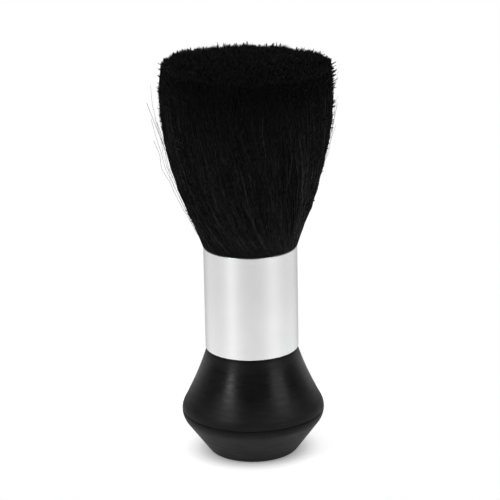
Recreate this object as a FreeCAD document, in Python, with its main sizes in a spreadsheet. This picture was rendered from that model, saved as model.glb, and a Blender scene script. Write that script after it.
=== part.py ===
import FreeCAD, Part
import math
import os

import Sketcher

# A neck duster brush that stands on its base with the hair up. Everything but the screw's
# cross recess is turned about Z. Millimetres, +Z up, origin at the centre of the foot.

DIMENSIONS = {
    # Base: a cone on a bowl, parted at its widest circle
    "foot_radius": 15.1,
    "foot_round": 2.5,
    "equator_radius": 26.85,
    "equator_height": 16.5,
    "equator_round": 7.0,
    "parting_chamfer": 0.15,
    "waist_curve": 120.0,
    "shoulder_radius": 17.0,
    "shoulder_height": 41.0,
    "spigot_radius": 16.65,
    "spigot_top": 54.0,
    "spigot_chamfer": 0.6,
    "deck_thickness": 3.0,
    "shell_bore": 14.0,
    "shell_mouth": 23.8,
    "mouth_depth": 3.1,
    "pillar_radius": 5.0,
    "shell_rib_depth": 12.0,
    "rib_thickness": 1.6,
    "rib_bite": 0.4,
    "shell_ribs": 4,
    # Bottom cap
    "cap_floor": 3.5,
    "cap_floor_radius": 15.8,
    "cap_inner_radius": 22.0,
    "cap_wall_height": 11.9,
    "cap_lip_height": 2.5,
    "cap_lip_chamfer": 0.5,
    "cap_boss_radius": 6.5,
    "cap_boss_top": 11.5,
    "cap_ribs": 6,
    "cap_rib_top": 9.0,
    "pad_radius": 12.0,
    "pad_thickness": 0.8,
    "pad_chamfer": 0.2,
    "ballast_radius": 15.0,
    "ballast_hole": 7.1,
    "ballast_thickness": 6.5,
    "ballast_chamfer": 0.6,
    # M4 tie screw, washer and insert
    "screw_radius": 2.0,
    "screw_length": 60.0,
    "screw_tip_chamfer": 0.5,
    "head_radius": 3.8,
    "head_height": 2.6,
    "head_round": 1.0,
    "recess_length": 4.4,
    "recess_width": 1.0,
    "recess_depth": 1.5,
    "screw_hole": 2.2,
    "washer_radius": 4.5,
    "washer_hole": 2.15,
    "washer_thickness": 0.8,
    "counterbore_radius": 5.0,
    "counterbore_depth": 5.0,
    "insert_radius": 3.0,
    "insert_bottom": 56.0,
    "insert_length": 8.0,
    "insert_groove": 0.4,
    "knurl_notches": 12,
    "knurl_depth": 0.25,
    "knurl_width": 0.6,
    # Ferrule
    "ferrule_radius": 17.5,
    "ferrule_wall": 0.8,
    "ferrule_top": 80.8,
    "ferrule_edge_round": 0.35,
    # Knot
    "resin_top": 60.0,
    "plug_radius": 6.0,
    "plug_flare_start": 66.0,
    "plug_flare_radius": 9.0,
    "plug_flare_end": 76.0,
    "plug_tip": 78.0,
    "root_waist_radius": 15.2,
    "root_waist_bottom": 61.0,
    "root_waist_top": 67.0,
    "root_waist_ramp": 1.0,
    "cord_radius": 0.55,
    "cord_pitch": 1.15,
    "cord_turns": 4,
    # Free hair, which turns about a pivot just above the ferrule's mouth
    "pivot_height": 86.0,
    "ball_radius": 17.2,
    "ball_gap": 0.4,
    "lip_rise": 2.0,
    "lip_radius": 19.9,
    "hair_radius": 32.0,
    "hair_side_curve": 133.0,
    "hair_side_top": 146.0,
    "hair_edge_round": 3.0,
    "hair_top": 150.0,
    # Gap between pieces that are only pushed together
    "loose_gap": 0.1,
    "close_gap": 0.05,
}

document = FreeCAD.newDocument("neck_duster")


class Size:
    """A length with the sheet formula it comes from, so that both are written once."""

    def __init__(self, value, formula):
        self.value = value
        self.formula = formula

    def joined(self, sign, other, value):
        return Size(value, f"({self.formula} {sign} {as_size(other).formula})")

    def __add__(self, other):
        return self.joined("+", other, self.value + as_size(other).value)

    def __sub__(self, other):
        return self.joined("-", other, self.value - as_size(other).value)

    def __mul__(self, other):
        return self.joined("*", other, self.value * as_size(other).value)

    def __truediv__(self, other):
        return self.joined("/", other, self.value / as_size(other).value)


def as_size(number):
    return number if isinstance(number, Size) else Size(number, str(number))


def root(size):
    return Size(math.sqrt(size.value), f"sqrt({size.formula})")


def make_sheet():
    """Write the driving dimensions and give them back as sizes, by name."""
    sheet = document.addObject("Spreadsheet::Sheet", "Sizes")
    sizes = {}
    for row, (name, value) in enumerate(DIMENSIONS.items(), start=1):
        sheet.set(f"A{row}", name)
        sheet.set(f"B{row}", str(value))
        sheet.setAlias(f"B{row}", name)
        sizes[name] = Size(value, f"Sizes.{name}")
    document.recompute()
    return sizes


SIZE = make_sheet()
AXIS = as_size(0)
TOUCH = 1e-3  # how near an edge must lie to count as in its place


# Outlines. A corner is (radius, height), with an optional dictionary about the edge that leaves
# it: "arc" is the radius of an arc, which bulges outward unless "inward" is set; "free" leaves
# that radius to the joins; "join" says how the edge meets the one before it, if not at a plain
# corner; and "loose" marks a corner that the joins place, so its numbers are only a first guess.


def arc_between(start, end, radius):
    """An arc from start to end, and whether it is stored the other way round."""
    outward = radius > 0
    chord = end - start
    half = chord.Length / 2
    left = FreeCAD.Vector(-chord.y, chord.x, 0).normalize()
    reach = math.sqrt(max(radius * radius - half * half, 0.0))
    centre = (start + end) * 0.5 + left * (reach if outward else -reach)
    first, last = (start, end) if outward else (end, start)
    angles = [math.atan2(p.y - centre.y, p.x - centre.x) for p in (first, last)]
    if angles[1] < angles[0]:
        angles[1] += 2 * math.pi
    circle = Part.Circle(centre, FreeCAD.Vector(0, 0, 1), abs(radius))
    return Part.ArcOfCircle(circle, angles[0], angles[1]), not outward


def pin(sketch, geometry, point, sizes):
    """Hold a point at its distances from the sketch's origin."""
    for kind, size, axis in zip(("DistanceX", "DistanceY"), sizes, (-2, -1)):
        if size.value == 0:
            sketch.addConstraint(Sketcher.Constraint("PointOnObject", geometry, point, axis))
            continue
        distance = Sketcher.Constraint(kind, -1, 1, geometry, point, size.value)
        number = sketch.addConstraint(distance)
        sketch.setExpression(f"Constraints[{number}]", size.formula)


def draw_outline(sketch, corners):
    """Draw a closed outline, counter-clockwise, with every size tied to the sheet."""
    spots = [FreeCAD.Vector(radius.value, height.value, 0) for radius, height, *_ in corners]
    runs = [corner[2] if len(corner) > 2 else {} for corner in corners]
    edges = []
    for index, run in enumerate(runs):
        start = spots[index]
        end = spots[(index + 1) % len(spots)]
        if "arc" in run:
            sign = -1 if run.get("inward") else 1
            shape, turned = arc_between(start, end, sign * run["arc"].value)
        else:
            shape, turned = Part.LineSegment(start, end), False
        ends = (2, 1) if turned else (1, 2)
        edges.append((sketch.addGeometry(shape, False), *ends))
    for index, run in enumerate(runs):
        before = edges[index - 1]
        here = edges[index]
        join = run.get("join", "Coincident")
        sketch.addConstraint(Sketcher.Constraint(join, before[0], before[2], here[0], here[1]))
        if not run.get("loose"):
            pin(sketch, here[0], here[1], corners[index][:2])
        if "arc" in run and not run.get("free"):
            number = sketch.addConstraint(Sketcher.Constraint("Radius", here[0], run["arc"].value))
            sketch.setExpression(f"Constraints[{number}]", run["arc"].formula)


def origin_feature(body, role):
    return next(item for item in body.Origin.OriginFeatures if item.Role == role)


def new_sketch(body, name, plane):
    sketch = body.newObject("Sketcher::SketchObject", name)
    sketch.AttachmentSupport = [(origin_feature(body, plane), "")]
    sketch.MapMode = "FlatFace"
    return sketch


def turned_body(label, corners):
    """A body turned about Z from a closed outline of radii and heights."""
    body = document.addObject("PartDesign::Body", label)
    sketch = new_sketch(body, f"{label}_outline", "XZ_Plane")
    draw_outline(sketch, corners)
    turning = body.newObject("PartDesign::Revolution", f"{label}_turning")
    turning.Profile = sketch
    turning.ReferenceAxis = (sketch, ["V_Axis"])
    turning.Angle = 360
    sketch.Visibility = False
    document.recompute()
    return body


def repeat_round(body, feature, name, count):
    """Repeat a feature evenly round Z and make the pattern the body's last step."""
    pattern = body.newObject("PartDesign::PolarPattern", name)
    pattern.Originals = [feature]
    pattern.Axis = (origin_feature(body, "Z_Axis"), [""])
    pattern.Angle = 360
    pattern.setExpression("Occurrences", count.formula)
    body.Tip = pattern
    document.recompute()
    return pattern


def add_ribs(body, corners, count):
    """Flat ribs through Z, each with the given outline."""
    before = body.Shape.Volume
    sketch = new_sketch(body, f"{body.Name}_rib_outline", "XZ_Plane")
    draw_outline(sketch, corners)
    rib = body.newObject("PartDesign::Pad", f"{body.Name}_rib")
    rib.Profile = sketch
    rib.Midplane = True
    rib.setExpression("Length", SIZE["rib_thickness"].formula)
    repeat_round(body, rib, f"{body.Name}_ribs", count)
    if body.Shape.Volume <= before:
        raise RuntimeError(f"{body.Name}: the ribs added nothing")


def ring_outline(inner, outer, bottom, top, chamfer=None):
    """The section of a ring, with its two outer edges chamfered if a size is given."""
    if chamfer is None:
        return [(inner, bottom), (outer, bottom), (outer, top), (inner, top)]
    return [
        (inner, bottom),
        (outer - chamfer, bottom),
        (outer, bottom + chamfer),
        (outer, top - chamfer),
        (outer - chamfer, top),
        (inner, top),
    ]


def chamfer_parting(body):
    """Break the outer edge where the halves of the base meet, so that a fine groove shows."""
    before = body.Shape.Volume
    solid = body.Tip
    level = SIZE["equator_height"].value
    radius = SIZE["equator_radius"].value
    name = next(
        f"Edge{number}"
        for number, edge in enumerate(solid.Shape.Edges, start=1)
        if abs(edge.BoundBox.ZMax - level) < TOUCH
        and abs(edge.BoundBox.ZMin - level) < TOUCH
        and abs(edge.BoundBox.XMax - radius) < TOUCH
    )
    chamfer = body.newObject("PartDesign::Chamfer", f"{body.Name}_parting_chamfer")
    chamfer.Base = (solid, [name])
    chamfer.setExpression("Size", SIZE["parting_chamfer"].formula)
    body.Tip = chamfer
    document.recompute()
    if body.Shape.Volume >= before:
        raise RuntimeError(f"{body.Name}: the chamfer cut nothing")


def make_base_shell():
    """The cone of the base, with the spigot for the ferrule and a pillar round the screw."""
    equator = SIZE["equator_radius"]
    level = SIZE["equator_height"]
    rounding = SIZE["equator_round"]
    lean = math.radians(20)  # of the cone, as a first guess
    spigot = SIZE["spigot_radius"]
    top = SIZE["spigot_top"]
    chamfer = SIZE["spigot_chamfer"]
    deck = top - SIZE["deck_thickness"]
    shoulder = SIZE["shoulder_height"]
    pillar_foot = SIZE["cap_boss_top"] + SIZE["loose_gap"]
    body = turned_body("base_shell", [
        (SIZE["shell_mouth"], level),
        (equator, level, {"arc": rounding, "join": "Perpendicular"}),
        (
            equator - rounding * (1 - math.cos(lean)),
            level + rounding * math.sin(lean),
            {"arc": SIZE["waist_curve"], "inward": True, "join": "Tangent", "loose": True},
        ),
        (SIZE["shoulder_radius"], shoulder),
        (spigot, shoulder),
        (spigot, top - chamfer),
        (spigot - chamfer, top),
        (SIZE["screw_hole"], top),
        (SIZE["screw_hole"], pillar_foot),
        (SIZE["pillar_radius"], pillar_foot),
        (SIZE["pillar_radius"], deck),
        (SIZE["shell_bore"], deck),
        (SIZE["shell_bore"], shoulder),
        (SIZE["shell_mouth"], level + SIZE["mouth_depth"]),
    ])
    bite = SIZE["rib_bite"]
    rib_inner = SIZE["pillar_radius"] - bite
    rib_outer = SIZE["shell_bore"] + bite
    rib_foot = deck - SIZE["shell_rib_depth"]
    rib_top = deck + bite
    add_ribs(body, ring_outline(rib_inner, rib_outer, rib_foot, rib_top), SIZE["shell_ribs"])
    chamfer_parting(body)


def make_base_cap():
    """The bowl under the equator, with its lip, the ballast's seat and the screw's counterbore."""
    equator = SIZE["equator_radius"]
    level = SIZE["equator_height"]
    rounding = SIZE["equator_round"]
    foot = SIZE["foot_radius"]
    foot_round = SIZE["foot_round"]
    slope = math.radians(54)  # of the bowl, as a first guess
    lip_radius = SIZE["shell_mouth"] - SIZE["loose_gap"]
    lip_top = level + SIZE["cap_lip_height"]
    lip_chamfer = SIZE["cap_lip_chamfer"]
    recess_radius = SIZE["pad_radius"] + SIZE["pad_chamfer"]
    floor = SIZE["cap_floor"]
    body = turned_body("base_cap", [
        (recess_radius, SIZE["pad_thickness"]),
        (recess_radius, AXIS),
        (foot, AXIS, {"arc": foot_round, "join": "Tangent"}),
        (
            foot + foot_round * math.sin(slope),
            foot_round * (1 - math.cos(slope)),
            {"join": "Tangent", "loose": True},
        ),
        (
            equator - rounding * (1 - math.sin(slope)),
            level - rounding * math.cos(slope),
            {"arc": rounding, "join": "Tangent", "loose": True},
        ),
        (equator, level, {"join": "Perpendicular"}),
        (lip_radius, level),
        (lip_radius, lip_top - lip_chamfer),
        (lip_radius - lip_chamfer, lip_top),
        (SIZE["cap_inner_radius"], lip_top),
        (SIZE["cap_inner_radius"], SIZE["cap_wall_height"]),
        (SIZE["cap_floor_radius"], floor),
        (SIZE["cap_boss_radius"], floor),
        (SIZE["cap_boss_radius"], SIZE["cap_boss_top"]),
        (SIZE["screw_hole"], SIZE["cap_boss_top"]),
        (SIZE["screw_hole"], SIZE["counterbore_depth"]),
        (SIZE["counterbore_radius"], SIZE["counterbore_depth"]),
        (SIZE["counterbore_radius"], SIZE["pad_thickness"]),
    ])
    # The ribs hold the ballast in the middle and end inside the sloping wall
    rise = SIZE["cap_rib_top"] - floor
    run = (SIZE["cap_inner_radius"] - SIZE["cap_floor_radius"]) * rise
    wall_at_top = SIZE["cap_floor_radius"] + run / (SIZE["cap_wall_height"] - floor)
    seat = SIZE["ballast_radius"] + SIZE["loose_gap"]
    bite = SIZE["rib_bite"]
    add_ribs(body, [
        (seat, floor - bite),
        (SIZE["cap_floor_radius"], floor - bite),
        (wall_at_top + bite, SIZE["cap_rib_top"]),
        (seat, SIZE["cap_rib_top"]),
    ], SIZE["cap_ribs"])
    chamfer_parting(body)


def make_ballast_disc():
    bottom = SIZE["cap_floor"]
    top = bottom + SIZE["ballast_thickness"]
    hole = SIZE["ballast_hole"]
    outline = ring_outline(hole, SIZE["ballast_radius"], bottom, top, SIZE["ballast_chamfer"])
    turned_body("ballast_disc", outline)


def make_foot_pad():
    """The pad in the recess of the foot; its lower face is what the brush stands on."""
    radius = SIZE["pad_radius"]
    chamfer = SIZE["pad_chamfer"]
    turned_body("foot_pad", [
        (AXIS, AXIS),
        (radius - chamfer, AXIS),
        (radius, chamfer),
        (radius, SIZE["pad_thickness"]),
        (AXIS, SIZE["pad_thickness"]),
    ])


def make_tie_washer():
    top = SIZE["counterbore_depth"]
    bottom = top - SIZE["washer_thickness"]
    turned_body("tie_washer", ring_outline(SIZE["washer_hole"], SIZE["washer_radius"], bottom, top))


def make_tie_screw():
    """The pan-head screw, head down in the foot; the threads are left smooth."""
    shank = SIZE["screw_radius"]
    seat = SIZE["counterbore_depth"] - SIZE["washer_thickness"]
    head_foot = seat - SIZE["head_height"]
    tip = seat + SIZE["screw_length"]
    chamfer = SIZE["screw_tip_chamfer"]
    rounding = SIZE["head_round"]
    body = turned_body("tie_screw", [
        (AXIS, head_foot),
        (SIZE["head_radius"] - rounding, head_foot, {"arc": rounding}),
        (SIZE["head_radius"], head_foot + rounding),
        (SIZE["head_radius"], seat),
        (shank, seat),
        (shank, tip - chamfer),
        (shank - chamfer, tip),
        (AXIS, tip),
    ])
    cut_cross_recess(body, head_foot)


def cut_cross_recess(body, face_height):
    """Two crossed slots in the face of the screw's head, which looks down."""
    for name, along, across in (
        ("slot_x", SIZE["recess_length"], SIZE["recess_width"]),
        ("slot_y", SIZE["recess_width"], SIZE["recess_length"]),
    ):
        before = body.Shape.Volume
        sketch = new_sketch(body, name, "XY_Plane")
        sketch.setExpression("AttachmentOffset.Base.z", face_height.formula)
        draw_centred_rectangle(sketch, along, across)
        slot = body.newObject("PartDesign::Pocket", f"{name}_cut")
        slot.Profile = sketch
        slot.Reversed = True
        slot.setExpression("Length", SIZE["recess_depth"].formula)
        document.recompute()
        if body.Shape.Volume >= before:
            raise RuntimeError(f"{name}: the slot cut nothing")


def draw_centred_rectangle(sketch, along, across):
    """A rectangle centred on the sketch's origin, with its two sides tied to the sheet."""
    east = along.value / 2
    north = across.value / 2
    spots = [(-east, -north), (east, -north), (east, north), (-east, north)]
    vectors = [FreeCAD.Vector(x, y, 0) for x, y in spots]
    for start, end in zip(vectors, vectors[1:] + vectors[:1]):
        sketch.addGeometry(Part.LineSegment(start, end), False)
    for side in range(4):
        sketch.addConstraint(Sketcher.Constraint("Coincident", side, 2, (side + 1) % 4, 1))
        direction = "Vertical" if side % 2 else "Horizontal"
        sketch.addConstraint(Sketcher.Constraint(direction, side))
    sketch.addConstraint(Sketcher.Constraint("Symmetric", 0, 1, 2, 1, -1, 1))
    for side, size, kind in ((0, along, "DistanceX"), (1, across, "DistanceY")):
        constraint = Sketcher.Constraint(kind, side, 1, side, 2, size.value)
        number = sketch.addConstraint(constraint)
        sketch.setExpression(f"Constraints[{number}]", size.formula)


def make_threaded_insert():
    """The brass insert: a tube with a ring groove at mid-length and a notched outside."""
    bottom = SIZE["insert_bottom"]
    top = bottom + SIZE["insert_length"]
    middle = bottom + SIZE["insert_length"] / 2
    groove = SIZE["insert_groove"]
    outer = SIZE["insert_radius"]
    bore = SIZE["screw_radius"] + SIZE["close_gap"]
    body = turned_body("threaded_insert", [
        (bore, bottom),
        (outer, bottom),
        (outer, middle - groove * 2),
        (outer - groove, middle - groove),
        (outer - groove, middle + groove),
        (outer, middle + groove * 2),
        (outer, top),
        (bore, top),
    ])
    before = body.Shape.Volume
    sketch = new_sketch(body, "knurl_outline", "XY_Plane")
    sketch.setExpression("AttachmentOffset.Base.z", bottom.formula)
    draw_outline(sketch, [
        (outer - SIZE["knurl_depth"], AXIS),
        (outer + SIZE["knurl_depth"], AXIS),
        (outer + SIZE["knurl_depth"], SIZE["knurl_width"]),
    ])
    notch = body.newObject("PartDesign::Pocket", "knurl_notch")
    notch.Profile = sketch
    notch.Reversed = True
    notch.setExpression("Length", SIZE["insert_length"].formula)
    repeat_round(body, notch, "knurl", SIZE["knurl_notches"])
    if body.Shape.Volume >= before:
        raise RuntimeError("threaded_insert: the knurl cut nothing")


def make_ferrule():
    """The aluminium tube over spigot and knot, standing on the shell's shoulder."""
    outer = SIZE["ferrule_radius"]
    inner = outer - SIZE["ferrule_wall"]
    bottom = SIZE["shoulder_height"]
    top = SIZE["ferrule_top"]
    edge = SIZE["ferrule_edge_round"]
    arc = {"arc": edge}
    turned_body("ferrule", [
        (inner + edge, bottom),
        (outer - edge, bottom, arc),
        (outer, bottom + edge),
        (outer, top - edge, arc),
        (outer - edge, top),
        (inner + edge, top, arc),
        (inner, top - edge),
        (inner, bottom + edge, arc),
    ])


def make_core_plug():
    """The plug in the heart of the knot: it holds the insert and flares to spread the hair."""
    bottom = SIZE["spigot_top"]
    hole = SIZE["insert_radius"] + SIZE["close_gap"]
    hole_top = SIZE["insert_bottom"] + SIZE["insert_length"] + SIZE["screw_radius"]
    turned_body("core_plug", [
        (hole, bottom),
        (SIZE["plug_radius"], bottom),
        (SIZE["plug_radius"], SIZE["plug_flare_start"]),
        (SIZE["plug_flare_radius"], SIZE["plug_flare_end"]),
        (AXIS, SIZE["plug_tip"]),
        (AXIS, hole_top),
        (hole, hole_top),
    ])


def make_resin_plug():
    inner = SIZE["plug_radius"] + SIZE["close_gap"]
    outline = ring_outline(inner, SIZE["spigot_radius"], SIZE["spigot_top"], SIZE["resin_top"])
    turned_body("resin_plug", outline)


def make_hair_roots():
    """The hair from the resin to a ball at the ferrule's mouth, tied in at its waist."""
    ball = SIZE["ball_radius"]
    pivot = SIZE["pivot_height"]
    below = pivot - SIZE["ferrule_top"]
    side = root(ball * ball - below * below)
    waist = SIZE["root_waist_radius"]
    ramp = SIZE["root_waist_ramp"]
    gap = SIZE["close_gap"]
    turned_body("hair_roots", [
        (SIZE["plug_radius"] + gap, SIZE["resin_top"]),
        (side, SIZE["resin_top"]),
        (waist, SIZE["root_waist_bottom"]),
        (waist, SIZE["root_waist_top"]),
        (side, SIZE["root_waist_top"] + ramp),
        (side, SIZE["ferrule_top"], {"arc": ball}),
        (AXIS, pivot + ball),
        (AXIS, SIZE["plug_tip"] + gap),
        (SIZE["plug_flare_radius"] + gap, SIZE["plug_flare_end"] + gap),
        (SIZE["plug_radius"] + gap, SIZE["plug_flare_start"]),
    ])


def make_binding_cord():
    """The cord wound round the waist of the roots, as one helix."""
    turns = SIZE["cord_turns"]
    wound = SIZE["cord_pitch"] * turns
    radius = SIZE["cord_radius"]
    path_radius = SIZE["root_waist_radius"] + SIZE["close_gap"] + radius
    middle = (SIZE["root_waist_bottom"] + SIZE["root_waist_top"]) / 2
    body = document.addObject("PartDesign::Body", "binding_cord")
    sketch = new_sketch(body, "cord_section", "XZ_Plane")
    centre = FreeCAD.Vector(path_radius.value, (middle - wound / 2).value, 0)
    circle = Part.Circle(centre, FreeCAD.Vector(0, 0, 1), radius.value)
    sketch.addGeometry(circle, False)
    pin(sketch, 0, 3, (path_radius, middle - wound / 2))
    number = sketch.addConstraint(Sketcher.Constraint("Radius", 0, radius.value))
    sketch.setExpression(f"Constraints[{number}]", radius.formula)
    winding = body.newObject("PartDesign::AdditiveHelix", "cord_winding")
    winding.Profile = sketch
    winding.ReferenceAxis = (sketch, ["V_Axis"])
    winding.Mode = "pitch-turns-angle"
    winding.setExpression("Pitch", SIZE["cord_pitch"].formula)
    winding.setExpression("Turns", turns.formula)
    document.recompute()


def make_hair_tuft():
    """The free hair: a fan that opens from a cup over the roots' ball and is cut domed on top."""
    pivot = SIZE["pivot_height"]
    cup = SIZE["ball_radius"] + SIZE["ball_gap"]
    rise = SIZE["lip_rise"]
    cup_mouth = root(cup * cup - rise * rise)
    lip = SIZE["lip_radius"]
    edge = SIZE["hair_edge_round"]
    edge_top = SIZE["hair_side_top"] + edge
    dome = {"arc": SIZE["hair_side_curve"] * 2, "join": "Tangent", "loose": True, "free": True}
    turned_body("hair_tuft", [
        (cup_mouth, pivot + rise),
        (lip, pivot + rise * lip / cup_mouth, {"arc": SIZE["hair_side_curve"]}),
        (SIZE["hair_radius"], SIZE["hair_side_top"], {"arc": edge, "join": "Tangent"}),
        (SIZE["hair_radius"] - edge, edge_top, dome),
        (AXIS, SIZE["hair_top"], {"join": "Perpendicular"}),
        (AXIS, pivot + cup, {"arc": cup, "inward": True}),
    ])


PIECES = (
    make_base_shell,
    make_base_cap,
    make_ballast_disc,
    make_foot_pad,
    make_tie_washer,
    make_tie_screw,
    make_threaded_insert,
    make_ferrule,
    make_core_plug,
    make_resin_plug,
    make_hair_roots,
    make_binding_cord,
    make_hair_tuft,
)


def check_document():
    """Stop if any object failed, or any body has no valid solid."""
    for item in document.Objects:
        if {"Invalid", "Error"} & set(item.State):
            raise RuntimeError(f"{item.Name} failed: {item.State}")
    for body in document.findObjects("PartDesign::Body"):
        shape = body.Shape
        if shape.isNull() or not shape.isValid() or len(shape.Solids) != 1:
            raise RuntimeError(f"{body.Label} has no single valid solid")


def write_parts():
    os.makedirs("parts", exist_ok=True)
    for body in document.findObjects("PartDesign::Body"):
        body.Shape.exportStep(f"parts/{body.Label}.step")
        box = body.Shape.BoundBox
        print(f"{body.Label}: {body.Shape.Volume:.1f} mm3, z {box.ZMin:.2f} to {box.ZMax:.2f}")


for make_piece in PIECES:
    make_piece()
document.recompute()
check_document()
write_parts()
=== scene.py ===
import math

import bmesh
import bpy
import numpy as np
from mathutils import Matrix, Vector


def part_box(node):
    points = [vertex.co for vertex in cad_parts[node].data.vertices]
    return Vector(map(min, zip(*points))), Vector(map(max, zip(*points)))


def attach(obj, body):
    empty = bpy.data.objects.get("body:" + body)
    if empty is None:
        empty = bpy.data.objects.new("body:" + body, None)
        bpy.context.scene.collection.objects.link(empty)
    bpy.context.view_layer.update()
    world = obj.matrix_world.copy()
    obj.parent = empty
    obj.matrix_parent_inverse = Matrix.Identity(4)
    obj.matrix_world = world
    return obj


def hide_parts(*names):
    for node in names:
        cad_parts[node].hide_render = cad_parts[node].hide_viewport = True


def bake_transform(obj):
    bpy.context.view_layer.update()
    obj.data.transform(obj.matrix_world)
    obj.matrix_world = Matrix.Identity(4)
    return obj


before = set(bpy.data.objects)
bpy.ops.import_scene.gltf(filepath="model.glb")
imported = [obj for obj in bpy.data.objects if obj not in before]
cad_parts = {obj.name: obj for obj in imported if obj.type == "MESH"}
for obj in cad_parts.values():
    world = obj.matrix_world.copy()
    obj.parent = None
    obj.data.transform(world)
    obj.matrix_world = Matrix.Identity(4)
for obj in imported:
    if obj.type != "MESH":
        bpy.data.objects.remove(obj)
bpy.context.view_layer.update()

# Places in metres, most of them taken from the frame. The brush is round about Z.

MM = 0.001
HANDLE = "handle"
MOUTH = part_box("ferrule")[1].z
FERRULE_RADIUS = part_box("ferrule")[1].x
FAN_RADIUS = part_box("hair_tuft")[1].x
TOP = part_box("hair_tuft")[1].z
RESIN_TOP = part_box("resin_plug")[1].z
PLUG_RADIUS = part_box("core_plug")[1].x
PLUG_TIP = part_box("core_plug")[1].z
CORD_LOW, CORD_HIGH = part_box("binding_cord")
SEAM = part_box("ferrule")[0].z  # where the ferrule meets the base
EQUATOR = 16.5 * MM  # height of the parting line round the base's widest ring
PAINTED_LIGHT_LENGTH = 26 * MM  # how far above the seam the ferrule is painted lighter, as painted light

# The hair's outline

HAIR_LENGTH = TOP - MOUTH
THROAT_RADIUS = FERRULE_RADIUS - 1.0 * MM  # inside the ferrule's wall
RIM_RADIUS = FERRULE_RADIUS + 0.05 * MM  # where the hair comes over the rim
RIM_BELOW = 0.15 * MM  # the hair starts to swell over the rim's rounded edge here,
RIM_ABOVE = 0.40 * MM  # and is fully over it here
NECK = 1.7 * MM  # straight hair above the rim, before the fan opens
FAN_POWER = 2.1
FAN_FULL = 0.95  # share of the hair's length at which the fan is fully open
SKIN = 0.78 * MM  # from the outline to the middle of the outermost layer of hair
TURN_IN = 1.1 * MM  # how far the outermost ends lean back in at the top
TURN_IN_FROM = 0.86

# The bundle is twisted where it leaves the ferrule, most on one side of it
SWIRL_MEAN = math.radians(-15)
SWIRL_SIDE = math.radians(-12)
SWIRL_PEAK = math.radians(235)
SWIRL_DECAY = 7.0
SWIRL_LEAN = math.radians(-24)  # the rest of the twist, spread over the whole length
SWIRL_LOCKS = math.radians(5)  # how much it differs from lock to lock
BULGE = -0.35 * MM  # how far the middle of the bundle has slumped to the side

# The cut of the top, and how far it is from flat at the brim

CUT = -0.30 * MM  # the middle of the cut, above the top of the hair in CAD
CUT_SADDLE = 0.35 * MM  # higher at the sides than in front and behind
CUT_SLOPE = -0.50 * MM  # higher to the left
CUT_BRIM = -0.35 * MM  # the outermost ends are worn down,
CUT_BRIM_FROM = 0.84  # from this share of the radius
CUT_WAVES = 0.38 * MM
CUT_CLUMPS = 0.30 * MM

# The furrows down the side of the fan

BROAD_RELIEF = 0.30 * MM
LOCK_RELIEF = 0.34 * MM
FINE_RELIEF = 0.16 * MM
PARTING_DEPTH = 0.9 * MM
PARTING_WIDTH = 0.13  # a parting runs where its field is nearer to 0 than about this

# How much hair there is, and how thick it is drawn

SIDE_SECTORS = 6
SIDE_STRANDS = 3200  # in each sector
SIDE_POINTS = 11
SIDE_THICKNESS = (0.11 * MM, 0.21 * MM)
SIDE_LAYER = 0.075  # the share of the radius that the outer hair fills
SIDE_DRIFT = math.radians(3.5)  # how far a strand strays from its lock on the way up
WILD_SHARE = 0.12  # strands that cross their neighbours
WILD_DRIFT = math.radians(18)
BRIGHT_SHARE = 0.07  # thicker strands that catch the light
SHORT_SHARE = 0.45  # strands that end below the top
TOP_STRANDS = 9000  # in each half
TOP_DEPTH = 9 * MM
TOP_THICKNESS = (0.16 * MM, 0.34 * MM)
TOP_SPLAY = 0.13  # the tips lean outward by this share of the radius at the brim
TOP_LEAN = 1.6 * MM
TOP_CURL = 0.3 * MM
LONG_SHARE = 0.10  # tips that stand out of the cut
FUZZ_STRANDS = 9500
FUZZ_THICKNESS = (0.12 * MM, 0.24 * MM)
STRAY_SHARE = 0.08  # fuzz that stands well out
LOOSE_STRANDS = 130
LOOSE_POINTS = 12
LOOSE_REACH = 5 * MM
LOOSE_DRIFT = math.radians(12)
LOOSE_THICKNESS = (0.07 * MM, 0.12 * MM)
FLYAWAY_FROM = 0.30  # share of the hair's length at which a flyaway hair starts,
FLYAWAY_OUT = 0.40  # and at which it leaves the fan
FLYAWAY_WIDTH = 0.13 * MM
CORE_AROUND = 480
CORE_RINGS = 60
CORE_BELOW_TOP = 5.5 * MM  # the heart's brim ends this far below the top
CORE_DOME = 0.9 * MM
KNOT_GAP = 0.2 * MM  # between the knot and the pieces round it
KNOT_AROUND = 180

# The stage. The room lights the brush and is never seen

FLOOR_RADIUS = 70 * MM
ROOM_FRONT = 0.12
ROOM_BEHIND = 0.40
GROUND_FRONT = 1.05
GROUND_BEHIND = 0.62

# The camera

CAMERA_ELEVATION = math.radians(17.6)
CAMERA_DISTANCE = 0.9
CAMERA_ROLL = math.radians(1.1)
VIEW_WIDTH = 0.1861  # of what the picture takes in at the brush
AIM = Vector((-0.1 * MM, 0, 78.6 * MM))

rng = np.random.default_rng(7)


# Small helpers


def smooth(x):
    """From 0 to 1 as x does, level at both ends."""
    x = np.clip(x, 0.0, 1.0)
    return x * x * (3 - 2 * x)


def link(obj):
    bpy.context.scene.collection.objects.link(obj)
    return obj


def mesh_from_arrays(name, verts, quads, tris, material):
    """A smooth-shaded mesh object from arrays of corner numbers."""
    mesh = bpy.data.meshes.new(name)
    mesh.vertices.add(len(verts))
    mesh.vertices.foreach_set("co", verts.astype(np.float32).ravel())
    loops = np.concatenate([quads.ravel(), tris.ravel()])
    mesh.loops.add(len(loops))
    mesh.loops.foreach_set("vertex_index", loops.astype(np.int32))
    sizes = np.concatenate([np.full(len(quads), 4), np.full(len(tris), 3)])
    starts = np.concatenate([[0], np.cumsum(sizes)[:-1]])
    mesh.polygons.add(len(sizes))
    mesh.polygons.foreach_set("loop_start", starts.astype(np.int32))
    mesh.polygons.foreach_set("use_smooth", np.ones(len(sizes), bool))
    mesh.materials.append(material)
    mesh.update(calc_edges=True)
    mesh.validate()
    return link(bpy.data.objects.new(name, mesh))


# Material helpers


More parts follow.
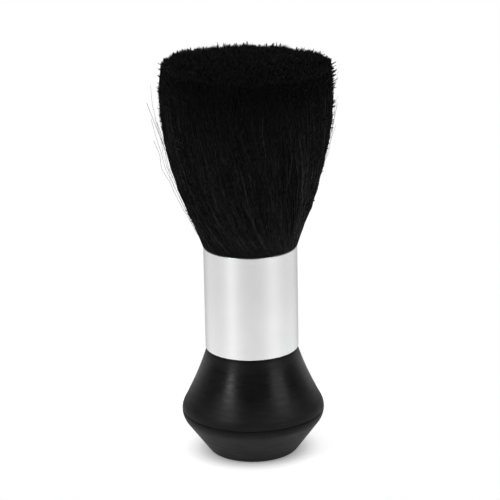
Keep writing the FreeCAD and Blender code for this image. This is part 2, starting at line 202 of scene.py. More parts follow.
def new_material(name):
    material = bpy.data.materials.new(name)
    material.use_nodes = True
    tree = material.node_tree
    shader = tree.nodes["Principled BSDF"]
    return material, tree, shader


def stretched_noise(tree, scale, stretch, detail=3.0, roughness=0.55):
    """Noise in the object's own metres, drawn out along an axis whose factor is below 1."""
    coordinates = tree.nodes.new("ShaderNodeTexCoord")
    mapping = tree.nodes.new("ShaderNodeMapping")
    mapping.inputs["Scale"].default_value = stretch
    tree.links.new(coordinates.outputs["Object"], mapping.inputs["Vector"])
    noise = tree.nodes.new("ShaderNodeTexNoise")
    noise.inputs["Scale"].default_value = scale
    noise.inputs["Detail"].default_value = detail
    noise.inputs["Roughness"].default_value = roughness
    tree.links.new(mapping.outputs["Vector"], noise.inputs["Vector"])
    return noise.outputs["Fac"]


def ramp(tree, factor, stops):
    """A colour ramp over a factor; stops are (position, grey or colour)."""
    node = tree.nodes.new("ShaderNodeValToRGB")
    elements = node.color_ramp.elements
    while len(elements) < len(stops):
        elements.new(0.5)
    for element, (position, colour) in zip(elements, stops):
        element.position = position
        triple = colour if isinstance(colour, tuple) else (colour,) * 3
        element.color = (*triple, 1.0)
    tree.links.new(factor, node.inputs["Fac"])
    return node.outputs["Color"]


def remap(tree, factor, low, high, from_low=0.3, from_high=0.7):
    """From low to high as the factor goes over its range, which for noise is 0.3 to 0.7."""
    node = tree.nodes.new("ShaderNodeMapRange")
    node.inputs["From Min"].default_value = from_low
    node.inputs["From Max"].default_value = from_high
    node.inputs["To Min"].default_value = low
    node.inputs["To Max"].default_value = high
    tree.links.new(factor, node.inputs["Value"])
    return node.outputs["Result"]


def bump(tree, height, strength, distance, below=None):
    """Relief in metres from a height, on top of the relief below it."""
    node = tree.nodes.new("ShaderNodeBump")
    node.inputs["Strength"].default_value = strength
    node.inputs["Distance"].default_value = distance
    tree.links.new(height, node.inputs["Height"])
    if below is not None:
        tree.links.new(below, node.inputs["Normal"])
    return node.outputs["Normal"]


def height_above_floor(tree):
    """The height above the floor, in metres."""
    coordinates = tree.nodes.new("ShaderNodeTexCoord")
    split = tree.nodes.new("ShaderNodeSeparateXYZ")
    tree.links.new(coordinates.outputs["Object"], split.inputs["Vector"])
    return split.outputs["Z"]


def add(tree, *terms):
    """The sum of two or more shader values."""
    total = terms[0]
    for term in terms[1:]:
        node = tree.nodes.new("ShaderNodeMath")
        node.operation = "ADD"
        tree.links.new(total, node.inputs[0])
        tree.links.new(term, node.inputs[1])
        total = node.outputs["Value"]
    return total


def distance_to(tree, value, place):
    """How far a shader value is from a place, either way."""
    offset = tree.nodes.new("ShaderNodeMath")
    offset.operation = "SUBTRACT"
    offset.inputs[1].default_value = place
    tree.links.new(value, offset.inputs[0])
    size = tree.nodes.new("ShaderNodeMath")
    size.operation = "ABSOLUTE"
    tree.links.new(offset.outputs["Value"], size.inputs[0])
    return size.outputs["Value"]


def blend_values(tree, factor, low, high):
    """Between two shader values: low where the factor is 0, high where it is 1."""
    mix = tree.nodes.new("ShaderNodeMix")
    tree.links.new(factor, mix.inputs["Factor"])
    tree.links.new(low, mix.inputs["A"])
    tree.links.new(high, mix.inputs["B"])
    return mix.outputs["Result"]


def multiply_colours(tree, first, second):
    """Two colours multiplied together."""
    mix = tree.nodes.new("ShaderNodeMix")
    mix.data_type = "RGBA"
    mix.blend_type = "MULTIPLY"
    mix.inputs["Factor"].default_value = 1.0
    tree.links.new(first, mix.inputs["A"])
    tree.links.new(second, mix.inputs["B"])
    return mix.outputs["Result"]


# Materials


def black_plastic(name, smoothest, roughest, grain_strength, gloss):
    """Black moulding: faint turned rings, worn smoother round its middle by handling, with painted
    shade under the ferrule and along the parting line.
    """
    material, tree, shader = new_material(name)
    cloud = stretched_noise(tree, 90.0, (1, 1, 1), detail=4.0)
    grain = stretched_noise(tree, 5200.0, (1, 1, 1), detail=2.0)
    rings = stretched_noise(tree, 1500.0, (0.012, 0.012, 1), detail=1.0)
    scuffs = stretched_noise(tree, 500.0, (0.25, 0.25, 1.5), detail=3.0)
    streaks = stretched_noise(tree, 1000.0, (0.16, 0.16, 1.5), detail=4.0, roughness=0.7)
    colour = ramp(tree, cloud, [(0.30, (0.0075, 0.0075, 0.0080)), (0.70, (0.0125, 0.0123, 0.0128))])
    tree.links.new(colour, shader.inputs["Base Color"])
    level = height_above_floor(tree)
    roughness = add(
        tree,
        remap(tree, cloud, smoothest, roughest),
        remap(tree, scuffs, -0.03, 0.07),
        remap(tree, level, 0.0, 0.14, SEAM - 5 * MM, SEAM),
        remap(tree, level, 0.19, 0.0, EQUATOR + 3 * MM, EQUATOR + 12 * MM),
    )
    tree.links.new(roughness, shader.inputs["Roughness"])
    normal = bump(tree, rings, 0.4, 0.00002)
    normal = bump(tree, grain, grain_strength, 0.00001, normal)
    tree.links.new(normal, shader.inputs["Normal"])
    # Painted shade: the specular level drops just under the ferrule and in a band along the parting
    # line; the streaks are uneven gloss
    shine = add(
        tree,
        remap(tree, streaks, gloss - 0.07, gloss + 0.07),
        remap(tree, level, 0.0, -0.28, SEAM - 1.6 * MM, SEAM - 0.3 * MM),
        remap(tree, distance_to(tree, level, EQUATOR), -0.24, 0.0, 0.0, 3.5 * MM),
    )
    tree.links.new(shine, shader.inputs["Specular IOR Level"])
    return material


def satin_aluminium():
    """Anodised tube: matt grain, faint draw lines and small marks, with painted light that makes it
    lighter towards its foot.
    """
    material, tree, shader = new_material("satin_aluminium")
    cloud = stretched_noise(tree, 60.0, (1, 1, 1), detail=4.0)
    grain = stretched_noise(tree, 6500.0, (1, 1, 1), detail=2.0)
    lines = stretched_noise(tree, 2600.0, (1, 1, 0.02), detail=3.0)
    marks = stretched_noise(tree, 420.0, (1, 1, 1), detail=6.0, roughness=0.8)
    colour = ramp(tree, cloud, [(0.30, (0.935, 0.935, 0.935)), (0.70, (0.980, 0.980, 0.985))])
    spotted = ramp(tree, marks, [(0.24, 0.72), (0.30, 1.0)])
    climb = remap(tree, height_above_floor(tree), 0.0, 1.0, SEAM, SEAM + PAINTED_LIGHT_LENGTH)
    # Painted light: the colour is lighter towards the ferrule's foot
    painted_light_at_foot = ramp(tree, climb, [(0.0, 1.0), (0.04, 0.97), (1.0, 0.90)])
    colour = multiply_colours(tree, multiply_colours(tree, colour, spotted), painted_light_at_foot)
    tree.links.new(colour, shader.inputs["Base Color"])
    shader.inputs["Metallic"].default_value = 1.0
    tree.links.new(remap(tree, grain, 0.42, 0.48), shader.inputs["Roughness"])
    shader.inputs["Anisotropic"].default_value = 0.6
    shader.inputs["Anisotropic Rotation"].default_value = 0.25
    around = tree.nodes.new("ShaderNodeTangent")
    around.direction_type = "RADIAL"
    around.axis = "Z"
    tree.links.new(around.outputs["Tangent"], shader.inputs["Tangent"])
    normal = bump(tree, lines, 0.10, 0.00001)
    normal = bump(tree, grain, 0.10, 0.00001, normal)
    tree.links.new(normal, shader.inputs["Normal"])
    return material


def plain_finish(name, dark, light, roughness, metallic=0.0, scale=900.0, stretch=(1, 1, 1)):
    """A mottled finish for the inner pieces: colour, roughness and grain from one noise."""
    material, tree, shader = new_material(name)
    grain = stretched_noise(tree, scale, stretch, detail=4.0)
    tree.links.new(ramp(tree, grain, [(0.30, dark), (0.70, light)]), shader.inputs["Base Color"])
    shader.inputs["Metallic"].default_value = metallic
    low, high = roughness
    tree.links.new(remap(tree, grain, low, high), shader.inputs["Roughness"])
    tree.links.new(bump(tree, grain, 0.2, 0.00003), shader.inputs["Normal"])
    return material


def hair_material():
    """Black hair: each strand has its own shade, darkened along it in places by painted shade, and
    broken up by fine specks.
    """
    material, tree, shader = new_material("black_hair")
    attribute = tree.nodes.new("ShaderNodeAttribute")
    attribute.attribute_name = "tone"
    specks = remap(tree, stretched_noise(tree, 1400.0, (1, 1, 0.5), detail=1.0), -0.26, 0.34)
    colour = ramp(tree, add(tree, attribute.outputs["Fac"], specks), [
        (0.0, (0.0019, 0.0018, 0.0020)),
        (0.35, (0.0070, 0.0068, 0.0070)),
        (1.0, (0.0480, 0.0465, 0.0460)),
    ])
    tree.links.new(colour, shader.inputs["Base Color"])
    shine = stretched_noise(tree, 1200.0, (1, 1, 0.2))
    tree.links.new(remap(tree, shine, 0.38, 0.55), shader.inputs["Roughness"])
    shader.inputs["Specular IOR Level"].default_value = 0.25
    return material


# Hair


def fan_radius(z):
    """The hair's outer radius at a height: tight in the ferrule, over the rim, then a fan."""
    above = (z - MOUTH - NECK) / (HAIR_LENGTH * FAN_FULL - NECK)
    opening = 1 - (1 - np.clip(above, 0, 1)) ** FAN_POWER
    swell = smooth((z - MOUTH + RIM_BELOW) / (RIM_ABOVE + RIM_BELOW))
    neck = THROAT_RADIUS + (RIM_RADIUS - THROAT_RADIUS) * swell
    share = (z - MOUTH) / HAIR_LENGTH
    turned_in = TURN_IN * np.clip((share - TURN_IN_FROM) / (1 - TURN_IN_FROM), 0, 1) ** 2
    return neck + (FAN_RADIUS - SKIN - RIM_RADIUS) * opening - turned_in


def swirl(angle, share):
    """How far a strand that starts at an angle has turned at a share of the hair's length."""
    whole = SWIRL_MEAN + SWIRL_SIDE * np.cos(angle - SWIRL_PEAK)
    whole = whole + SWIRL_LOCKS * LOCKS.at(angle, 0)
    return whole * (1 - np.exp(-SWIRL_DECAY * share)) + SWIRL_LEAN * share


def place(radius, turn, z):
    """Points from their distance round the bundle's own centre line, angle and height."""
    share = np.clip((z - MOUTH) / HAIR_LENGTH, 0, 1)
    x = radius * np.cos(turn) + BULGE * np.sin(math.pi * share)
    return np.stack([x, radius * np.sin(turn), z], axis=2)


class Ripple:
    """A smooth random field over angle and height, about -1 to 1, from a few sine waves.

    Each wave swings round the brush a number of times in the given range, and shifts on its
    way up by an angle of about the given climb.
    """

    def __init__(self, swings, count, climb):
        self.turns = rng.integers(*swings, count)
        self.phase = rng.uniform(0, 2 * math.pi, count)
        self.climb = rng.normal(0, climb, count)
        self.size = 1 / np.sqrt(self.turns)
        self.size /= np.sqrt((self.size**2).sum() * 2) * 0.7

    def at(self, angle, share):
        """The field at an angle and at a share of the hair's length."""
        total = 0
        for turns, phase, climb, size in zip(self.turns, self.phase, self.climb, self.size):
            total = total + size * np.sin(turns * angle + phase + climb * share)
        return total


class Grain:
    """A smooth random field over the top, from a few plane waves, about -1 to 1."""

    def __init__(self, shortest, longest, count):
        length = rng.uniform(shortest, longest, count)
        heading = rng.uniform(0, 2 * math.pi, count)
        self.along_x = 2 * math.pi * np.cos(heading) / length
        self.along_y = 2 * math.pi * np.sin(heading) / length
        self.phase = rng.uniform(0, 2 * math.pi, count)

    def at(self, radius, angle):
        """The field at a distance from the axis and an angle."""
        x = radius * np.cos(angle)
        y = radius * np.sin(angle)
        waves = zip(self.along_x, self.along_y, self.phase)
        total = sum(np.sin(along_x * x + along_y * y + phase) for along_x, along_y, phase in waves)
        return total / math.sqrt(len(self.phase))


BROAD = Ripple((2, 9), 6, 1.5)
LOCKS = Ripple((16, 50), 14, 3.0)
FINE = Ripple((60, 150), 18, 6.0)
GAPS = Ripple((9, 26), 9, 5.0)
SHADE = Ripple((20, 120), 24, 5.0)
BRIM = Ripple((2, 14), 9, 0.0)
CLUMPS = Grain(2.0 * MM, 7.0 * MM, 24)


def relief(angle, share):
    """How far the hair stands out of or in from the plain fan: locks, and partings between."""
    parting = np.exp(-((GAPS.at(angle, share) / PARTING_WIDTH) ** 2))
    out = BROAD_RELIEF * BROAD.at(angle, share) + LOCK_RELIEF * LOCKS.at(angle, share)
    out = out + FINE_RELIEF * FINE.at(angle, share) - PARTING_DEPTH * parting
    return out * smooth(share * 4)


def top_height(radius, angle):
    """The height that the hair is cut to: a little higher to the left, and wavy at the brim."""
    share = radius / FAN_RADIUS
    saddle = CUT_SADDLE * np.cos(2 * angle) * share**2
    slope = CUT_SLOPE * np.cos(angle) * share
    brim = CUT_BRIM * np.clip((share - CUT_BRIM_FROM) / (1 - CUT_BRIM_FROM), 0, 1) ** 2
    waves = CUT_WAVES * share * BRIM.at(angle, 0) + CUT_CLUMPS * CLUMPS.at(radius, angle)
    return TOP + CUT + saddle + slope + brim + waves


def cross_sections(paths):
    """Two directions across each path at each point."""
    along = np.gradient(paths, axis=1)
    along /= np.linalg.norm(along, axis=2, keepdims=True)
    outward = paths * np.array([1.0, 1.0, 0.0])
    outward /= np.linalg.norm(outward, axis=2, keepdims=True) + 1e-9
    side = np.cross(along, outward)
    side /= np.linalg.norm(side, axis=2, keepdims=True) + 1e-9
    return side, np.cross(side, along)


def set_tones(piece, tones):
    """Give each point of a piece the shade that the hair's material reads."""
    values = tones.astype(np.float32)
    piece.data.attributes.new("tone", "FLOAT", "POINT").data.foreach_set("value", values)


def strand_piece(name, paths, width, tone, material):
    """Closed three-sided strands along paths (strand, point, xyz), with their widths and tones."""
    count, points, _ = paths.shape
    side, up = cross_sections(paths)
    spin = rng.uniform(0, 2 * math.pi, count)
    rings = []
    for corner in range(3):
        turn = (spin + corner * 2 * math.pi / 3)[:, None, None]
        offset = side * np.cos(turn) + up * np.sin(turn)
        rings.append(paths + offset * (width / 2)[:, :, None])
    verts = np.stack(rings, axis=2).reshape(-1, 3)
    first = (np.arange(count) * points * 3)[:, None, None]
    ring = (np.arange(points - 1) * 3)[None, :, None]
    corner = np.arange(3)[None, None, :]
    following = (corner + 1) % 3
    low = first + ring
    quads = np.stack(
        [low + corner, low + following, low + 3 + following, low + 3 + corner], axis=-1
    ).reshape(-1, 4)
    start = (np.arange(count) * points * 3)[:, None]
    end = start + (points - 1) * 3
    tris = np.concatenate([start + [0, 2, 1], end + [0, 1, 2]])
    piece = mesh_from_arrays(name, verts, quads, tris, material)
    set_tones(piece, np.repeat(tone.reshape(-1), 3))
    lay_out_strands(piece, count, points)
    return piece


def lay_out_strands(piece, count, points):
    """A map layout with a tall narrow cell for each strand, so that a bake keeps each shade."""
    across = math.ceil(math.sqrt(count * 5))
    rows = math.ceil(count / across)
    layer = piece.data.uv_layers.new(name="OFBake")
    numbers = np.empty(len(piece.data.loops), np.int32)
    piece.data.loops.foreach_get("vertex_index", numbers)
    strand, rest = np.divmod(numbers, points * 3)
    point, corner = np.divmod(rest, 3)
    u = (strand % across + 0.15 + 0.35 * corner) / across
    v = (strand // across + 0.05 + 0.90 * point / (points - 1)) / rows
    layer.data.foreach_set("uv", np.stack([u, v], axis=1).astype(np.float32).ravel())


def finish_hair(piece):
    """Fan pieces stand in for the hidden tuft, with their placement baked into their meshes."""
    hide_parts("hair_tuft")
    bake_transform(piece)


def strand_heights(tip, points):
    """Heights along strands: three at the mouth, so that they follow the rim, then to the tip."""
    climb = (np.arange(points - 3) + 1) / (points - 3)
    upper = MOUTH + (tip[:, None] - MOUTH) * climb[None, :] ** 1.15
    foot = np.full((len(tip), 3), MOUTH) + np.array([-3 * MM, -RIM_BELOW, RIM_ABOVE])
    return np.concatenate([foot, upper], axis=1)


def strand_paths(angle, depth, drift, tip, points, wave):
    """Paths that follow the fan at a depth below its surface (1 is the surface)."""
    z = strand_heights(tip, points)
    share = np.clip((z - MOUTH) / HAIR_LENGTH, 0, 1)
    own = angle[:, None] + drift[:, None] * share
    turn = own + swirl(angle[:, None], share)
    radius = fan_radius(z) * depth[:, None] + relief(own, share)
    phase = rng.uniform(0, 2 * math.pi, (2, len(angle), 1))
    cycles = rng.uniform(2.0, 6.0, (2, len(angle), 1))
    sway = np.sin(phase + cycles * 2 * math.pi * share) * smooth(share * 6)
    radius = radius + sway[0] * wave[:, None] * 0.5
    turn = turn + sway[1] * wave[:, None] / np.maximum(radius, 5 * MM)
    return place(radius, turn, z), share


def taper(share, thickness, tip=0.25):
    """A strand's width: full for most of its length, narrowing to its tip."""
    return thickness[:, None] * (1 - (1 - tip) * smooth((share - 0.72) / 0.28))


def side_hair(material):
    """The long outer hair, in pieces by sector so that no piece is too heavy."""
    pieces = []
    strands = SIDE_STRANDS
    span = 2 * math.pi / SIDE_SECTORS
    for sector in range(SIDE_SECTORS):
        angle = rng.uniform(sector * span, (sector + 1) * span, strands)
        depth = 1 - SIDE_LAYER * rng.uniform(0, 1, strands) ** 1.2
        drift = rng.normal(0, SIDE_DRIFT, strands)
        wild = rng.uniform(0, 1, strands) < WILD_SHARE
        drift[wild] = rng.normal(0, WILD_DRIFT, wild.sum())
        depth[wild] = rng.uniform(0.995, 1.008, wild.sum())
        bright = rng.uniform(0, 1, strands) < BRIGHT_SHARE
        depth[bright] = rng.uniform(0.990, 1.004, bright.sum())
        end_angle = angle + drift + swirl(angle, 1)
        tip = top_height(fan_radius(TOP) * depth, end_angle) + rng.normal(0, 0.5 * MM, strands)
        short = rng.uniform(0, 1, strands) < SHORT_SHARE
        tip[short] -= rng.exponential(4 * MM, short.sum())
        wave = np.abs(rng.normal(0.25, 0.15, strands)) * MM
        wave[bright] *= 2.0
        paths, share = strand_paths(angle, depth, drift, tip, SIDE_POINTS, wave)
        thickness = rng.uniform(*SIDE_THICKNESS, strands)
        thickness[bright] *= 1.5
        own = rng.beta(0.7, 4.0, strands) + 0.16 * SHADE.at(angle, 0)
        own[wild] += 0.2
        own[bright] += 0.35
        tone = own[:, None] + 0.08 * SHADE.at(angle[:, None], share)
        # Painted shade: the strands are darker just above the ferrule's rim and towards the top of the
        # fan
        shaded = smooth(share * 25) * (1 - 0.58 * smooth((share - 0.45) / 0.50))
        tone = np.clip(tone * shaded, 0, 1)
        pieces.append(
            strand_piece(f"hair_side_{sector + 1}", paths, taper(share, thickness), tone, material)
        )
    return pieces


def top_hair(material):
    """The cut tips over the whole top, as short pointed strands that rise out of the core."""
    pieces = []
    for half in range(2):
        strands = TOP_STRANDS
        radius = (FAN_RADIUS - SKIN) * np.sqrt(rng.uniform(0, 0.985, strands))
        angle = rng.uniform(half * math.pi, (half + 1) * math.pi, strands)
        tip = top_height(radius, angle) + rng.normal(0, 0.35 * MM, strands)
        long = rng.uniform(0, 1, strands) < LONG_SHARE
        tip[long] += np.minimum(rng.exponential(0.6, long.sum()), 1.5) * MM
        along = np.array([0.0, 0.75, 0.94, 1.0])[None, :]
        root = TOP - TOP_DEPTH
        z = root + (tip[:, None] - root) * along
        splay = TOP_SPLAY * (radius / FAN_RADIUS)[:, None] * (along - 1)
        lean = rng.normal(0, TOP_LEAN, (2, strands, 1))
        curl = rng.normal(0, TOP_CURL, (2, strands, 1))
        spread = radius[:, None] * (1 + splay)
        x = spread * np.cos(angle)[:, None] + lean[0] * (along - 1) + curl[0] * np.sin(math.pi * along)
        y = spread * np.sin(angle)[:, None] + lean[1] * (along - 1) + curl[1] * np.sin(math.pi * along)
        paths = np.stack([x, y, z], axis=2)
        thickness = rng.uniform(*TOP_THICKNESS, strands)
        thickness[long] *= 1.5
        width = thickness[:, None] * np.array([1.0, 1.0, 1.0, 0.5])[None, :]
        own = rng.beta(0.8, 2.6, strands) + 0.14 * CLUMPS.at(radius, angle) + 0.03
        # Painted shade: each tip is darker further down, among the other tips
        tone = np.clip(own[:, None] * np.array([0.0, 0.25, 0.7, 1.0])[None, :], 0, 1)
        pieces.append(strand_piece(f"hair_top_{half + 1}", paths, width, tone, material))
    return pieces


def fuzz(name, material):
    """Fine short ends that stand out all round, more towards the top."""
    strands = FUZZ_STRANDS
    angle = rng.uniform(0, 2 * math.pi, strands)
    share = 1 - 0.85 * rng.uniform(0, 1, strands) ** 1.5
    rim = top_height(fan_radius(TOP), angle)
    end = MOUTH + (rim - MOUTH) * share + rng.normal(0, 0.25 * MM, strands)
    length = rng.uniform(1.5, 5.0, strands) * MM
    out = rng.uniform(0, 0.3, strands)
    stray = rng.uniform(0, 1, strands) < STRAY_SHARE
    out[stray] += rng.uniform(0.6, 2.2, stray.sum())
    length[stray] = rng.uniform(0.9, 2.2, stray.sum()) * MM
    out *= MM * (0.2 + 0.8 * share)
    sweep = rng.normal(0, 0.9 * MM, strands)
    along = np.linspace(0, 1, 4)[None, :]
    z = end[:, None] - length[:, None] * (1 - along)
    radius = fan_radius(z) - 0.5 * MM + (out + 0.5 * MM)[:, None] * along**1.5
    turn = angle[:, None] + sweep[:, None] * along / FAN_RADIUS
    paths = place(radius, turn, z)
    thickness = rng.uniform(*FUZZ_THICKNESS, strands)
    thickness[stray] *= 2.0
    width = thickness[:, None] * np.array([1.0, 1.0, 1.0, 0.6])[None, :]
    # Painted shade: the fuzz is darker towards the top
    own = rng.beta(0.6, 3.5, strands) * (1 - 0.5 * smooth((share - 0.75) / 0.2))
    tone = np.repeat(own[:, None], 4, axis=1)
    return strand_piece(name, paths, width, tone, material)


def loose_hair(material):
    """Single hairs that have sprung out of the side of the fan."""
    strands = LOOSE_STRANDS
    points = LOOSE_POINTS
    angle = rng.uniform(0, 2 * math.pi, strands)
    depth = np.full(strands, 1.0)
    drift = rng.normal(0, LOOSE_DRIFT, strands)
    tip = MOUTH + HAIR_LENGTH * rng.uniform(0.45, 0.97, strands)
    wave = np.abs(rng.normal(0.5, 0.3, strands)) * MM
    paths, share = strand_paths(angle, depth, drift, tip, points, wave)
    lift = rng.exponential(1.6 * MM, strands)[:, None] * np.linspace(0, 1, points)[None, :] ** 2.5
    outward = paths * np.array([1.0, 1.0, 0.0])
    outward /= np.linalg.norm(outward, axis=2, keepdims=True)
    paths = paths + outward * np.minimum(lift, LOOSE_REACH)[:, :, None]
    thickness = rng.uniform(*LOOSE_THICKNESS, strands)
    tone = np.repeat(rng.uniform(0.2, 0.8, strands)[:, None], points, axis=1)
    return strand_piece("hair_loose", paths, taper(share, thickness), tone, material)


def flyaway(name, angle, top, reach, material):
    """One long hair that bows out of the fan at an angle: its top's share and its reach."""
    share = np.linspace(FLYAWAY_FROM, top, 14)[None, :]
    z = MOUTH + HAIR_LENGTH * share
    out = reach * (np.maximum(share - FLYAWAY_OUT, 0) / (top - FLYAWAY_OUT)) ** 1.4
    paths = place(fan_radius(z) + out, np.full(z.shape, angle), z)
    width = np.full(z.shape, FLYAWAY_WIDTH)
    tone = np.full(z.shape, 0.4)
    return strand_piece(name, paths, width, tone, material)


def closed_tube(name, grid, material):
    """A closed skin over rings of points (ring, point, xyz), with a point in the middle of each end."""
    rows, around, _ = grid.shape
    middles = [[0, 0, grid[0, 0, 2]], [0, 0, grid[-1, :, 2].mean()]]
    verts = np.concatenate([grid.reshape(-1, 3), middles])
    low = (np.arange(rows - 1) * around)[:, None]
    here = np.arange(around)[None, :]
    there = (here + 1) % around
    quads = np.stack(
        [low + here, low + there, low + around + there, low + around + here], axis=-1
    ).reshape(-1, 4)
    middle = rows * around
    last = middle - around
    tris = np.concatenate([
        np.stack([np.full(around, middle), there[0], here[0]], axis=1),
        np.stack([np.full(around, middle + 1), last + here[0], last + there[0]], axis=1),
    ])
    return mesh_from_arrays(name, verts, quads, tris, material)


def hair_core(material):
    """The solid heart of the fan, furrowed like the hair over it, which no light gets through."""
    start = np.linspace(0, 2 * math.pi, CORE_AROUND, endpoint=False)[None, :]
    heights = np.concatenate([
        [PLUG_TIP + 0.4 * MM, MOUTH - RIM_BELOW],
        np.linspace(MOUTH + RIM_ABOVE, TOP - CORE_BELOW_TOP, CORE_RINGS),
    ])[:, None]
    share = np.clip((heights - MOUTH) / HAIR_LENGTH, 0, 1)
    turn = start + swirl(start, share)
    radius = fan_radius(heights) * (1 - 0.05 * smooth(share * 4)) - 0.15 * MM + relief(start, share)
    side = place(radius, turn, np.broadcast_to(heights, turn.shape))
    rings = [side]
    for step in (0.97, 0.90, 0.75, 0.5, 0.25):
        ring = side[-1] * np.array([step, step, 1.0])
        ring[:, 2] += CORE_DOME * (1 - step) + rng.normal(0, 0.25 * MM, CORE_AROUND)
        rings.append(ring[None])
    core = closed_tube("hair_core", np.concatenate(rings), material)
    set_tones(core, rng.beta(1.4, 5.0, len(core.data.vertices)) * 0.3)
    return core


def turned_piece(name, outline, around, material):
    """A closed ring turned about Z from a closed outline of (radius, height)."""
    mesh = bmesh.new()
    rings = []
    for step in range(around):
        angle = 2 * math.pi * step / around
        rings.append([
            mesh.verts.new((radius * math.cos(angle), radius * math.sin(angle), height))
            for radius, height in outline
        ])
    for step, ring in enumerate(rings):
        after = rings[(step + 1) % around]
        for index in range(len(outline)):
            follow = (index + 1) % len(outline)
            mesh.faces.new((ring[index], after[index], after[follow], ring[follow]))
    bmesh.ops.recalc_face_normals(mesh, faces=mesh.faces)
    for face in mesh.faces:
        face.smooth = True
    data = bpy.data.meshes.new(name)
    mesh.to_mesh(data)
    mesh.free()
    data.materials.append(material)
    return link(bpy.data.objects.new(name, data))


def hair_knot(material):
    """The rooted hair inside the ferrule, from the resin to the core, drawn in by the cord."""
    low = RESIN_TOP + 0.1 * MM
    high = PLUG_TIP + 0.3 * MM
    waist = CORD_HIGH.x - 1.2 * MM
    inner = PLUG_RADIUS + KNOT_GAP
    outer = THROAT_RADIUS - KNOT_GAP
    knot = turned_piece("hair_knot", [
        (inner, low),
        (outer, low),
        (waist, CORD_LOW.z - 0.1 * MM),
        (waist, CORD_HIGH.z + 0.1 * MM),
        (outer, CORD_HIGH.z + 1.2 * MM),
        (outer, high),
        (inner, high),
    ], KNOT_AROUND, material)
    set_tones(knot, rng.beta(1.4, 5.0, len(knot.data.vertices)) * 0.5)
    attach(knot, HANDLE)
    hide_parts("hair_roots")


def make_hair():
    material = hair_material()
    fan = [hair_core(material), *side_hair(material), *top_hair(material)]
    ends = [fuzz(f"hair_fuzz_{number}", material) for number in (1, 2)]
    strays = [
        flyaway("hair_flyaway_left", math.radians(183), 0.80, 5.6 * MM, material),
        flyaway("hair_flyaway_left_short", math.radians(196), 0.72, 3.4 * MM, material),
        flyaway("hair_flyaway_right", math.radians(-4), 0.78, 2.2 * MM, material),
    ]
    for piece in [*fan, *ends, *strays, loose_hair(material)]:
        finish_hair(piece)
    hair_knot(material)


# The CAD pieces keep their meshes and get their finishes


def finish_cad_pieces():
    steel = plain_finish("zinc_plated_steel", 0.50, 0.62, (0.28, 0.40), metallic=1.0)
    finishes = {
        "base_shell": black_plastic(
            "satin_black_plastic", smoothest=0.27, roughest=0.33, grain_strength=0.12, gloss=0.53
        ),
        "base_cap": black_plastic(
            "matt_black_plastic", smoothest=0.28, roughest=0.36, grain_strength=0.45, gloss=0.37
        ),
        "ferrule": satin_aluminium(),
        "ballast_disc": steel,
        "tie_screw": steel,
        "tie_washer": steel,
        "threaded_insert": plain_finish(
            "brass", (0.62, 0.42, 0.16), (0.78, 0.57, 0.27), (0.25, 0.38), metallic=1.0
        ),
        "resin_plug": plain_finish(
            "amber_resin", (0.30, 0.15, 0.04), (0.48, 0.28, 0.09), (0.12, 0.22), scale=300.0
        ),
        "core_plug": plain_finish(
            "white_plastic", (0.60, 0.58, 0.52), (0.74, 0.72, 0.67), (0.45, 0.60)
        ),
        "binding_cord": plain_finish(
            "waxed_thread", (0.46, 0.40, 0.28), (0.70, 0.64, 0.50), (0.70, 0.85),
            scale=3000.0, stretch=(1, 1, 0.4),
        ),
        "foot_pad": plain_finish(
            "black_rubber", (0.004, 0.004, 0.004), (0.009, 0.009, 0.009), (0.80, 0.95), scale=2500.0
        ),
    }
    for node, material in finishes.items():
        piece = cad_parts[node]
        piece.data.materials.clear()
        piece.data.materials.append(material)


# Stage, light and camera


def make_floor():
    """A white disc under the brush that glows from within like an acrylic sheet, less so at its middle,
    where the dimmer glow is a painted shadow round the foot.
    """
    mesh = bpy.data.meshes.new("floor")
    turns = np.linspace(0, 2 * math.pi, 128, endpoint=False)
    rim = [(FLOOR_RADIUS * math.cos(turn), FLOOR_RADIUS * math.sin(turn), 0) for turn in turns]
    mesh.from_pydata(rim, [], [tuple(range(len(rim)))])
    floor = link(bpy.data.objects.new("floor", mesh))
    material, tree, shader = new_material("white_floor")
    shader.inputs["Base Color"].default_value = (0.80, 0.80, 0.80, 1)
    shader.inputs["Roughness"].default_value = 0.9
    shader.inputs["Specular IOR Level"].default_value = 0.0
    shader.inputs["Emission Color"].default_value = (1, 1, 1, 1)
    coordinates = tree.nodes.new("ShaderNodeTexCoord")
    distance = tree.nodes.new("ShaderNodeVectorMath")
    distance.operation = "LENGTH"
    tree.links.new(coordinates.outputs["Object"], distance.inputs[0])
    share = remap(tree, distance.outputs["Value"], 0.0, 1.0, 0.0, FLOOR_RADIUS)
    # Painted shadow: the glow is weakest round the foot and rises outward
    glow_with_painted_shadow = ramp(tree, share, [
        (0.22, 0.24), (0.26, 0.42), (0.31, 0.60), (0.36, 0.68), (0.64, 0.62), (1.0, 0.72)
    ])
    tree.links.new(glow_with_painted_shadow, shader.inputs["Emission Strength"])
    mesh.materials.append(material)


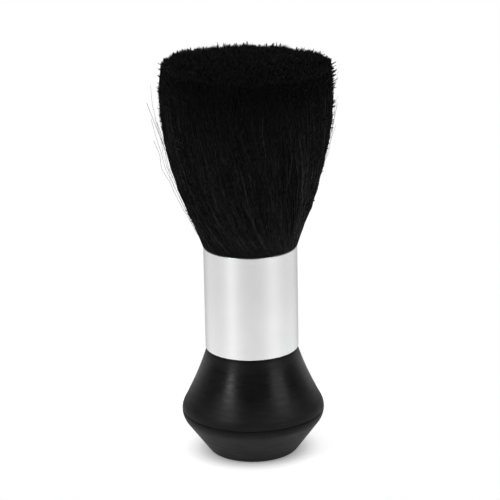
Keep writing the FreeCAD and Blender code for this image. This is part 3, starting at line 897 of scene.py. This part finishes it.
def make_world():
    """White to the camera. For the light it is a room: dim above in front, bright ground in front."""
    world = bpy.data.worlds.new("studio")
    bpy.context.scene.world = world
    world.use_nodes = True
    tree = world.node_tree
    background = tree.nodes["Background"]
    background.inputs["Color"].default_value = (1, 1, 1, 1)
    coordinates = tree.nodes.new("ShaderNodeTexCoord")
    split = tree.nodes.new("ShaderNodeSeparateXYZ")
    tree.links.new(coordinates.outputs["Generated"], split.inputs["Vector"])
    room = remap(tree, split.outputs["Y"], ROOM_FRONT, ROOM_BEHIND, 0.1, 0.9)
    ground = remap(tree, split.outputs["Y"], GROUND_FRONT, GROUND_BEHIND, 0.55, 0.95)
    above = remap(tree, split.outputs["Z"], 0.0, 1.0, -0.03, 0.01)
    light = blend_values(tree, above, ground, room)
    path = tree.nodes.new("ShaderNodeLightPath")
    white = tree.nodes.new("ShaderNodeMix")
    white.inputs["B"].default_value = 1.0
    tree.links.new(path.outputs["Is Camera Ray"], white.inputs["Factor"])
    tree.links.new(light, white.inputs["A"])
    tree.links.new(white.outputs["Result"], background.inputs["Strength"])


def add_panel(name, azimuth, elevation, distance, size, radiance):
    """A soft rectangular light that faces the middle of the brush. Azimuth 0 is the camera's side."""
    light = bpy.data.lights.new(name, "AREA")
    light.shape = "RECTANGLE"
    light.size, light.size_y = size
    light.energy = radiance * math.pi * size[0] * size[1]
    panel = link(bpy.data.objects.new(name, light))
    turn = math.radians(azimuth)
    rise = math.radians(elevation)
    away = Vector((
        math.sin(turn) * math.cos(rise), -math.cos(turn) * math.cos(rise), math.sin(rise)
    ))
    middle = Vector((0, 0, TOP / 2))
    panel.location = middle + away * distance
    panel.rotation_mode = "QUATERNION"
    panel.rotation_quaternion = (-away).to_track_quat("-Z", "Y")
    panel.visible_camera = False


def make_lights():
    add_panel("softbox_left", azimuth=-49, elevation=30, distance=0.9, size=(0.18, 0.56), radiance=6.6)
    add_panel("softbox_right", azimuth=56, elevation=27, distance=0.9, size=(0.46, 0.60), radiance=1.85)
    add_panel("overhead", azimuth=0, elevation=89, distance=1.4, size=(1.6, 1.6), radiance=1.1)


def make_camera():
    data = bpy.data.cameras.new("camera")
    data.lens = data.sensor_width * CAMERA_DISTANCE / VIEW_WIDTH
    data.clip_start = 0.05
    data.clip_end = 100
    camera = link(bpy.data.objects.new("camera", data))
    away = Vector((0, -math.cos(CAMERA_ELEVATION), math.sin(CAMERA_ELEVATION)))
    camera.location = AIM + away * CAMERA_DISTANCE
    level = (-away).to_track_quat("-Z", "Y").to_matrix()
    camera.rotation_mode = "QUATERNION"
    camera.rotation_quaternion = (level @ Matrix.Rotation(-CAMERA_ROLL, 3, "Z")).to_quaternion()
    bpy.context.scene.camera = camera


make_hair()
finish_cad_pieces()
make_floor()
make_world()
make_lights()
make_camera()
bpy.context.scene.view_settings.view_transform = "Standard"
bpy.context.scene.view_settings.gamma = 0.8
